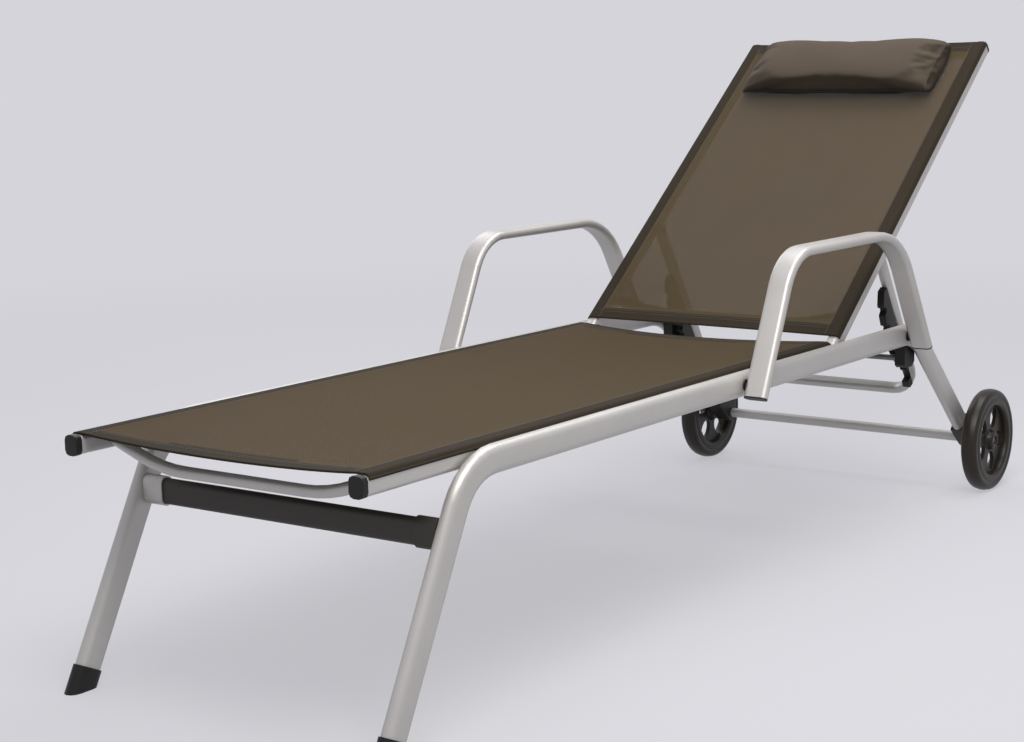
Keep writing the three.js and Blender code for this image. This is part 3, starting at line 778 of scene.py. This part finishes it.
@dataclass
class Sling:
    """A stretched cloth between two rails, with doubled hems and sewn edges."""

    name: str
    node: str
    body: str
    slot: str
    origin: Vector
    tilt: float
    top: float
    start: float
    end: float
    start_curve: float
    end_curve: float
    sag: float
    first_dip: float
    rail_x: float
    rail_width: float
    finishes: Finishes
    half_width: float = 0.2455
    wrap_radius: float = 0.0055
    thin: float = 0.00012
    thick: float = 0.0022
    proud: float = 0.0005
    hem: float = 0.024
    fold: float = 0.0015
    edge_overlap: float = 0.001
    edge_turn: float = 0.006
    dip_share: float = 0.07
    hem_seams: tuple[float, float] = (0.0035, 0.0085)
    side_seam: float = 0.0045
    columns: int = 84
    rows: int = 150

    @property
    def inner(self) -> float:
        """How far from the middle the rails' inner faces stand."""
        return self.rail_x - self.rail_width / 2

    def station(self, across: float, t: float) -> float:
        """How far along the rails a point lies.

        Args:
            across: its place across, in metres.
            t: 0 at the first hem, 1 at the last.

        Returns:
            The distance along, in metres.
        """
        bow = 1.0 - min(1.0, abs(across) / self.rail_x) ** 2
        first = self.start + self.start_curve * bow
        last = self.end - self.end_curve * bow
        return first + (last - first) * t

    def height(self, across: float, t: float) -> float:
        """The cloth's height over the rails' middle plane at a point.

        Args:
            across: its place across, in metres.
            t: 0 at the first hem, 1 at the last.

        Returns:
            The height in metres.
        """
        outer = self.rail_x + self.rail_width / 2 - self.wrap_radius
        if abs(across) > outer:
            over = min(1.0, (abs(across) - outer) / self.wrap_radius)
            return self.top - self.wrap_radius * (1 - math.sqrt(max(0.0, 1 - over * over)))
        if abs(across) > self.inner:
            return self.top
        share = across / self.inner
        slack = self.sag * (1.0 + 0.25 * math.cos(math.pi * (2 * t - 1)))
        slack += self.first_dip * math.exp(-t / self.dip_share)
        return self.top - slack * (1 - share * share) ** 0.9

    def to_row(self, across: float, along: float, up: float) -> Vector:
        """A point in the rails' own frame, in the lounger's frame."""
        turn = Matrix.Rotation(self.tilt, 3, "X")
        return self.origin + turn @ Vector((across, along, up))

    def doubled(self, across: float, along: float, t: float) -> float:
        """1 where the cloth is doubled over a rail or in a hem, else 0."""
        edge = abs(across) > self.inner - self.edge_overlap
        first = along - self.station(across, 0.0) < self.hem
        last = self.station(across, 1.0) - along < self.hem
        return 1.0 if edge or first or last else 0.0

    def build(self) -> bpy.types.Object:
        """Makes the cloth as one closed sheet that rides on its rails."""
        xs = self._columns()
        ts = self._rows()
        top, low, marks = [], [], []
        for t in ts:
            for x in xs:
                along = self.station(x, t)
                up = self.height(x, t)
                mark = self.doubled(x, along, t)
                top.append(self.to_row(x, along, up + self.proud * mark))
                low.append(self.to_row(x, along, up - self.thin - (self.thick - self.thin) * mark))
                marks.append((x, along, mark))
        nx, nt = len(xs), len(ts)
        count = len(top)
        upper = grid_faces(nt, nx)
        lower = [tuple(count + i for i in reversed(face)) for face in upper]
        ring = list(range(nx)) + [i * nx + nx - 1 for i in range(1, nt)]
        ring += [(nt - 1) * nx + j for j in range(nx - 2, -1, -1)]
        ring += [i * nx for i in range(nt - 2, 0, -1)]
        rim = [(a, a + count, b + count, b) for a, b in zip(ring, ring[1:] + ring[:1])]
        mesh = bpy.data.meshes.new(self.name)
        mesh.from_pydata([tuple(p) for p in top + low], [], upper + lower + rim)
        cloth = mesh.attributes.new("cloth", "FLOAT_VECTOR", "POINT")
        cloth.data.foreach_set("vector", np.array(marks + marks, np.float32).ravel())
        piece = link_mesh(self.name, mesh, self.finishes["sling_cloth"])
        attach(piece, self.body)
        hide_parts(self.node)
        width = 2 * self.half_width
        self.end - self.start
        f"{self.rail_name}_left"
        f"{self.rail_name}_right"
        LOG.info("sheet %s: %d points", self.name, 2 * count)
        return piece

    @property
    def rail_name(self) -> str:
        """The name of the rails without their side."""
        return "sling_rail" if self.body == "frame" else "backrest_rail"

    def _columns(self) -> list[float]:
        """Places across, closer together where the cloth turns over a rail."""
        middle = list(np.linspace(-self.inner, self.inner, self.columns))
        turn = self.half_width - self.edge_turn
        edge = [self.inner + 0.004, self.inner + 0.009, turn]
        edge += [turn + self.edge_turn * share for share in (0.3, 0.55, 0.75, 0.9, 1.0)]
        return [-x for x in reversed(edge)] + middle + edge

    def _rows(self) -> list[float]:
        """Shares along, closer together inside the hems."""
        length = self.end - self.start
        near = [0.0, self.fold / length]
        near += [self.hem * share / length for share in (0.5, 0.97, 1.03)]
        first = self.hem * 1.6 / length
        middle = list(np.linspace(first, 1 - first, self.rows))
        return near + middle + [1 - s for s in reversed(near)]

    def stitches(self) -> bpy.types.Object:
        """Sews a double row along both hems and a single row beside each rail."""
        sewing = Stitching(f"{self.name}_stitches", self.finishes["thread"])
        for t_end, inward in ((0.0, 1.0), (1.0, -1.0)):
            for seam in self.hem_seams:
                offset = inward * (self.hem - seam)
                for k in range(int(2 * self.inner / sewing.pitch)):
                    x = -self.inner + k * sewing.pitch
                    sewing.add(*(self._at(end, self.station(end, t_end) + offset)
                                 for end in (x, x + sewing.length)))
        for side in Side:
            x = side.sign * (self.inner - self.side_seam)
            first = self.station(x, 0.0) + self.edge_overlap
            last = self.station(x, 1.0) - self.edge_overlap
            for k in range(int((last - first) / sewing.pitch)):
                y = first + k * sewing.pitch
                sewing.add(self._at(x, y), self._at(x, y + sewing.length))
        return sewing.build(self.body, self.slot)

    def _at(self, across: float, along: float) -> tuple[Vector, Vector]:
        """A point on the cloth and the way up there."""
        first, last = self.station(across, 0.0), self.station(across, 1.0)
        t = min(1.0, max(0.0, (along - first) / (last - first)))
        mark = self.doubled(across, along, t)
        up = self.height(across, t) + self.proud * mark
        return self.to_row(across, along, up), self.to_row(0, 0, 1) - self.to_row(0, 0, 0)


@dataclass
class Stitching:
    """A run of small thread stitches, collected into one piece."""

    name: str
    material: bpy.types.Material
    pitch: float = 0.0046
    length: float = 0.0034
    radius: float = 0.00042
    sides: int = 6
    hump: tuple = ((0.0, -0.6, 0.6), (0.25, 0.35, 1.0), (0.75, 0.35, 1.0), (1.0, -0.6, 0.6))
    points: list = field(default_factory=list)
    faces: list = field(default_factory=list)

    def add(self, start: tuple[Vector, Vector], end: tuple[Vector, Vector]) -> None:
        """Adds one stitch that humps over the cloth.

        Args:
            start: where the thread comes up, and the way up.
            end: where it goes down, and the way up.
        """
        (a, up), (b, _) = start, end
        run = (b - a).normalized()
        side = run.cross(up)
        base = len(self.points)
        for share, lift, width in self.hump:
            centre = a.lerp(b, share) + up * lift * self.radius
            for c, s in circle(1.0, self.sides):
                self.points.append(centre + (side * c + up * s) * self.radius * width)
        n = self.sides
        last = base + (len(self.hump) - 1) * n
        for ring in range(base, last, n):
            for k in range(n):
                p, q = ring + k, ring + (k + 1) % n
                self.faces.append((p, q, q + n, p + n))
        self.faces.append(tuple(base + k for k in reversed(range(n))))
        self.faces.append(tuple(last + k for k in range(n)))

    def build(self, body: str, slot: str) -> bpy.types.Object:
        """Makes the piece and lets it ride on its body.

        Args:
            body: the moving body it is sewn to.
            slot: not used.

        Returns:
            The stitches.
        """
        mesh = bpy.data.meshes.new(self.name)
        mesh.from_pydata([tuple(p) for p in self.points], [], self.faces)
        piece = link_mesh(self.name, mesh, self.material)
        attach(piece, body)
        LOG.info("stitches %s: %d", self.name, len(self.points) // (self.sides * len(self.hump)))
        return piece


@dataclass
class HeadPillow:
    """A stuffed roll across the head of the backrest, flat where it lies on the sling."""

    finishes: Finishes
    origin: Vector
    tilt: float
    bed: float
    first: float
    last: float
    half_width: float
    height: float = 0.039
    foot_taper: float = 0.008
    head_taper: float = 0.006
    lift: float = 0.0015
    shrink: float = 0.006
    voxel: float = 0.0055
    pressure: float = 4.0
    tension: float = 12.0
    bending: float = 0.4
    swell: float = 0.006
    pinned: float = 0.004
    clearance: float = 0.0008
    frames: int = 20
    columns: int = 44
    around: int = 26
    seam_share: float = 0.94
    seam_height: float = 0.012

    @property
    def turn(self) -> Matrix:
        """The backrest's tilt as a rotation."""
        return Matrix.Rotation(self.tilt, 3, "X")

    def section(self, share: float) -> Outline:
        """The outline of the stuffed cover at a place across.

        Args:
            share: 0 in the middle, 1 at a side seam.

        Returns:
            Points along the backrest and over its bed.
        """
        pull = (1.0 - share ** 9) ** 0.5
        low = self.first + self.foot_taper * (1 - pull)
        high = self.last - self.head_taper * (1 - pull)
        tall = self.height * (0.30 + 0.70 * pull)
        points = []
        for c, s in circle(1.0, self.around):
            wide = math.copysign(abs(c) ** 0.92, c)
            deep = math.copysign(abs(s) ** 0.9, s)
            along = (low + high) / 2 + (high - low) / 2 * wide * (1 - 0.06 * (deep + 1))
            up = self.bed + self.lift + tall * 0.5 * (deep + 1)
            points.append((along, up))
        return points

    def shell(self) -> bpy.types.Object:
        """The cover before it is filled, slightly smaller than the pillow."""
        points, faces = [], []
        for i in range(self.columns + 1):
            share = -1 + 2 * i / self.columns
            eased = math.sin(share * math.pi / 2)
            x = eased * (self.half_width - self.shrink)
            for along, up in self.section(abs(eased)):
                points.append(self.origin + self.turn @ Vector((x, along, up)))
        n = self.around
        for i in range(self.columns):
            for k in range(n):
                a, b = i * n + k, i * n + (k + 1) % n
                faces.append((a, b, b + n, a + n))
        faces.append(tuple(reversed(range(n))))
        faces.append(tuple(self.columns * n + k for k in range(n)))
        return make_piece("head_pillow_cover", points, faces, self.finishes["pillow_cloth"])

    def fill(self, piece: bpy.types.Object) -> None:
        """Blows the cover up by cloth simulation and keeps it off its bed.

        Args:
            piece: the cover, changed in place.
        """
        bpy.context.view_layer.objects.active = piece
        remesh = piece.modifiers.new("remesh", "REMESH")
        remesh.mode = "VOXEL"
        remesh.voxel_size = self.voxel
        self._apply(piece)
        before = np.array([v.co for v in piece.data.vertices])
        bed = piece.vertex_groups.new(name="bed")
        over = self._over_bed(before)
        bed.add([int(i) for i in np.nonzero(over < self.pinned)[0]], 1.0, "REPLACE")
        cloth = piece.modifiers.new("fill", "CLOTH")
        cloth.settings.use_pressure = True
        cloth.settings.uniform_pressure_force = self.pressure
        cloth.settings.effector_weights.gravity = 0.0
        cloth.settings.vertex_group_mass = "bed"
        cloth.settings.tension_stiffness = self.tension
        cloth.settings.bending_stiffness = self.bending
        scene = bpy.context.scene
        for step in range(1, self.frames + 1):
            scene.frame_set(step)
        graph = bpy.context.evaluated_depsgraph_get()
        blown = piece.evaluated_get(graph).to_mesh()
        after = np.array([v.co for v in blown.vertices])
        piece.evaluated_get(graph).to_mesh_clear()
        piece.modifiers.remove(cloth)
        scene.frame_set(1)
        move = after - before
        size = np.linalg.norm(move, axis=1, keepdims=True)
        move *= np.minimum(1.0, self.swell / np.maximum(size, 1e-9))
        settled = before + move
        sunk = np.minimum(0.0, self._over_bed(settled) - self.clearance)
        settled -= sunk[:, None] * self._normal()
        piece.data.vertices.foreach_set("co", settled.astype(np.float32).ravel())
        piece.data.update()

    def _normal(self) -> np.ndarray:
        """The way out of the backrest."""
        return np.array([0.0, -math.sin(self.tilt), math.cos(self.tilt)])

    def _over_bed(self, points: np.ndarray) -> np.ndarray:
        """How far each point stands off the bed, in metres."""
        return (points - np.array(self.origin)) @ self._normal() - self.bed

    def _apply(self, piece: bpy.types.Object) -> None:
        """Bakes the piece's modifiers into its mesh."""
        mesh = evaluated_mesh(piece)
        piece.modifiers.clear()
        piece.data = mesh

    def creases(self, piece: bpy.types.Object) -> None:
        """Presses soft pull lines in beside the end seams and a slack in the middle."""
        turn = Matrix.Rotation(-self.tilt, 3, "X")
        normal = Vector(self._normal())
        for vertex in piece.data.vertices:
            local = turn @ (vertex.co - self.origin)
            share = abs(local.x) / self.half_width
            rise = max(0.0, (local.z - self.bed) / self.height)
            pull = math.exp(-((share - 0.86) / 0.09) ** 2)
            ripple = math.sin(local.y * 190.0 + 2.1 * math.sin(local.x * 23.0))
            slack = 0.0006 * math.sin(local.x * 31.0 + local.y * 40.0)
            vertex.co += normal * rise * (0.0011 * pull * ripple + slack)

    def build(self) -> bpy.types.Object:
        """Makes and fills the pillow, presses its creases, softens it and lets it ride on the backrest."""
        piece = self.shell()
        self.fill(piece)
        self.creases(piece)
        smooth = piece.modifiers.new("soften", "SMOOTH")
        smooth.iterations = 3
        smooth.factor = 0.4
        self._apply(piece)
        fine = piece.modifiers.new("fine", "SUBSURF")
        fine.levels = 1
        fine.render_levels = 1
        piece.data.shade_smooth()
        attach(piece, "backrest")
        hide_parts("head_pillow")
        LOG.info("pillow: %d points", len(piece.data.vertices))
        return piece

    def seams(self, piece: bpy.types.Object) -> bpy.types.Object:
        """Sews a seam round each end and one along the foot-side edge.

        Args:
            piece: the filled pillow the seams lie on.

        Returns:
            The stitches as one piece.
        """
        sewing = Stitching("head_pillow_seams", self.finishes["thread"], radius=0.0005)
        for side in Side:
            x = side.sign * self.seam_share * self.half_width
            ring = [(x, along, up) for along, up in self.section(self.seam_share)]
            self._sew(piece, sewing, ring + ring[:1])
        reach, up = 0.93 * self.half_width, self.bed + self.seam_height
        self._sew(piece, sewing, [(-reach, self.first, up), (reach, self.first, up)])
        return sewing.build("backrest", "pillow_textile")

    def _sew(self, piece: bpy.types.Object, sewing: "Stitching", line: Sequence[tuple]) -> None:
        """Lays stitches on the pillow along a line.

        Args:
            piece: the pillow.
            sewing: the run the stitches are added to.
            line: points across, along and up from the backrest's pivot.
        """
        for start, end in zip(line, line[1:]):
            a, b = Vector(start), Vector(end)
            steps = max(1, round((b - a).length / sewing.pitch))
            for k in range(steps):
                ends = []
                for share in (k / steps, (k + 0.72) / steps):
                    near = self.origin + self.turn @ a.lerp(b, share)
                    _, spot, normal, _ = piece.closest_point_on_mesh(near)
                    ends.append((spot, normal))
                if (ends[1][0] - ends[0][0]).length > 0.001:
                    sewing.add(*ends)


# ---------------------------------------------------------------- studio


@dataclass
class Studio:
    """Pale floor, soft lights and the camera."""

    eye: Vector
    yaw: float
    pitch: float
    roll: float
    lens: float
    shift: tuple[float, float]
    wall: Colour = (0.66, 0.66, 0.70)
    floor_radius: float = 60.0
    floor_z: float = -0.0006
    floor_sides: int = 96

    def floor(self) -> None:
        """A pale floor that fades into the backdrop with distance."""
        count = self.floor_sides
        rim = circle(self.floor_radius, count)
        points = [(x, y, self.floor_z) for x, y in [(0.0, 0.0), *rim]]
        faces = [(0, 1 + k, 1 + (k + 1) % count) for k in range(count)]
        sh = Shader("floor_paint")
        where = sh.place()
        away = sh.node("ShaderNodeVectorMath", {"operation": "LENGTH"}, {0: where}, output="Value")
        fade = away.span(1.4, 5.0) * 0.32 + 0.68
        cloud = sh.noise(where, 1.2, 3.0, 0.5)
        paint = sh.node("ShaderNodeBsdfDiffuse", None, {
            "Color": sh.tint(cloud, (0.50, 0.498, 0.52), (0.53, 0.528, 0.55)), "Roughness": 0.4,
        })
        haze = sh.node("ShaderNodeEmission", None, {"Color": (*self.wall, 1), "Strength": 1.0})
        surface = sh.node("ShaderNodeMixShader", None, {0: fade, 1: paint, 2: haze})
        sh.node_output(surface)
        piece = make_piece("studio_floor", points, faces, sh.material)

    def backdrop(self) -> None:
        """A plain pale surround that also fills the shadows."""
        world = bpy.data.worlds.new("studio")
        bpy.context.scene.world = world
        world.use_nodes = True
        shade = world.node_tree.nodes["Background"]
        shade.inputs["Color"].default_value = (*self.wall, 1)
        shade.inputs["Strength"].default_value = 1.0

    def lamp(self, name: str, place: Vector, aim: Vector, size: tuple[float, float], power: float,
             colour: Colour = (1.0, 1.0, 1.0)) -> None:
        """Adds one soft box.

        Args:
            name: the lamp's name.
            place: where it hangs.
            aim: what it points at.
            size: its width and height.
            power: its power in watts.
            colour: its colour.
        """
        data = bpy.data.lights.new(name, "AREA")
        data.shape = "RECTANGLE"
        data.size, data.size_y = size
        data.energy = power
        data.color = colour
        lamp = bpy.data.objects.new(name, data)
        lamp.location = place
        lamp.rotation_mode = "QUATERNION"
        lamp.rotation_quaternion = (aim - place).to_track_quat("-Z", "Y")
        bpy.context.scene.collection.objects.link(lamp)

    def camera(self) -> None:
        """Sets the camera at its place, level and lens."""
        data = bpy.data.cameras.new("camera")
        data.lens = self.lens
        data.sensor_width = 36.0
        data.sensor_fit = "HORIZONTAL"
        data.shift_x, data.shift_y = self.shift
        data.clip_start, data.clip_end = 0.05, 200.0
        camera = bpy.data.objects.new("camera", data)
        forward = Vector((
            -math.sin(self.yaw) * math.cos(self.pitch),
            math.cos(self.yaw) * math.cos(self.pitch),
            -math.sin(self.pitch),
        ))
        level = Vector((math.cos(self.yaw), math.sin(self.yaw), 0.0))
        above = level.cross(forward)
        right = math.cos(self.roll) * level + math.sin(self.roll) * above
        up = right.cross(forward)
        turn = Matrix((right, up, -forward)).transposed()
        camera.matrix_world = Matrix.Translation(self.eye) @ turn.to_4x4()
        bpy.context.scene.collection.objects.link(camera)
        bpy.context.scene.camera = camera

    def build(self) -> None:
        """Sets up the floor, the surround, the lamps and the camera."""
        self.camera()
        self.floor()
        self.backdrop()
        aim = Vector((0.0, 0.1, 0.35))
        self.lamp("key", Vector((0.85, -0.95, 1.95)), Vector((0.2, 0.4, 0.5)), (1.2, 1.2), 40.0,
                  (1.0, 0.985, 0.96))
        self.lamp("top", Vector((0.2, 0.9, 2.7)), aim, (1.6, 1.4), 40.0)
        self.lamp("rim", Vector((-2.6, 1.6, 2.4)), aim, (1.6, 2.0), 20.0, (0.96, 0.98, 1.0))
        bpy.context.scene.view_settings.view_transform = "Standard"
        LOG.info("studio ready")


# ---------------------------------------------------------------- the lounger


@dataclass
class Lounger:
    """Everything that is built round the frame, in order."""

    tilt: float = math.radians(38.5)

    def joint(self, name: str) -> dict:
        """The record's entry of that joint."""
        return next(j for j in frame["joints"] if j["name"] == name)

    def seat(self, finishes: Finishes) -> Sling:
        """The seat cloth between its two rails."""
        low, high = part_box("sling_rail_right")
        sheet_low, sheet_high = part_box("seat_sling")
        return Sling(
            name="seat_cloth", node="seat_sling", body="frame", slot="sling_textile",
            origin=Vector((0.0, 0.0, (low.z + high.z) / 2)), tilt=0.0,
            top=sheet_high.z - (low.z + high.z) / 2,
            start=sheet_low.y, end=sheet_high.y, start_curve=0.008, end_curve=0.034, sag=0.005,
            first_dip=0.006,
            rail_x=(low.x + high.x) / 2, rail_width=high.x - low.x, finishes=finishes,
        )

    def back(self, finishes: Finishes) -> Sling:
        """The backrest cloth between its two rails."""
        low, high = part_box("sling_rail_right")
        pivot = Vector(self.joint("recline")["pos_m"])
        return Sling(
            name="backrest_cloth", node="backrest_sling", body="backrest", slot="sling_textile",
            origin=pivot, tilt=self.tilt, top=(high.z - low.z) / 2 + 0.0023,
            start=0.012, end=0.762, start_curve=0.004, end_curve=0.0, sag=0.004, first_dip=0.0,
            rail_x=(low.x + high.x) / 2, rail_width=high.x - low.x, finishes=finishes, rows=110,
        )

    def wheel(self, side: Side, finishes: Finishes) -> Wheel:
        """The wheel on one side, sized from the frame's own."""
        low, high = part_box(f"wheel_{side.value}")
        first = {Side.LEFT: math.radians(90), Side.RIGHT: math.radians(65)}[side]
        return Wheel(side=side, centre=(low + high) / 2, radius=(high.z - low.z) / 2,
                     width=high.x - low.x, first_opening=first, finishes=finishes)

    def pillow(self, finishes: Finishes) -> HeadPillow:
        """The pillow at the head of the backrest."""
        low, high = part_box("head_pillow")
        rail_low, rail_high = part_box("sling_rail_right")
        return HeadPillow(
            finishes=finishes, origin=Vector(self.joint("recline")["pos_m"]), tilt=self.tilt,
            bed=(rail_high.z - rail_low.z) / 2 + 0.0026, first=0.590, last=0.748,
            half_width=high.x,
        )


def main() -> None:
    """Builds the finishes, the hard parts, the cloth, the pillow and the studio."""
    logging.basicConfig(level=logging.INFO, format="%(name)s: %(message)s")
    lounger = Lounger()
    finishes = Finishes(lounger.tilt)
    HardParts(finishes).dress()
    for side in Side:
        lounger.wheel(side, finishes).build()
    for sling in (lounger.seat(finishes), lounger.back(finishes)):
        sling.build()
        sling.stitches()
    pillow = lounger.pillow(finishes)
    pillow.seams(pillow.build())
    Studio(
        eye=Vector((1.642, -2.470, 0.803)), yaw=math.radians(33.51), pitch=math.radians(8.65),
        roll=math.radians(-0.75), lens=67.6, shift=(-0.1035, -0.0254),
    ).build()


if __name__ == "__main__":
    main()
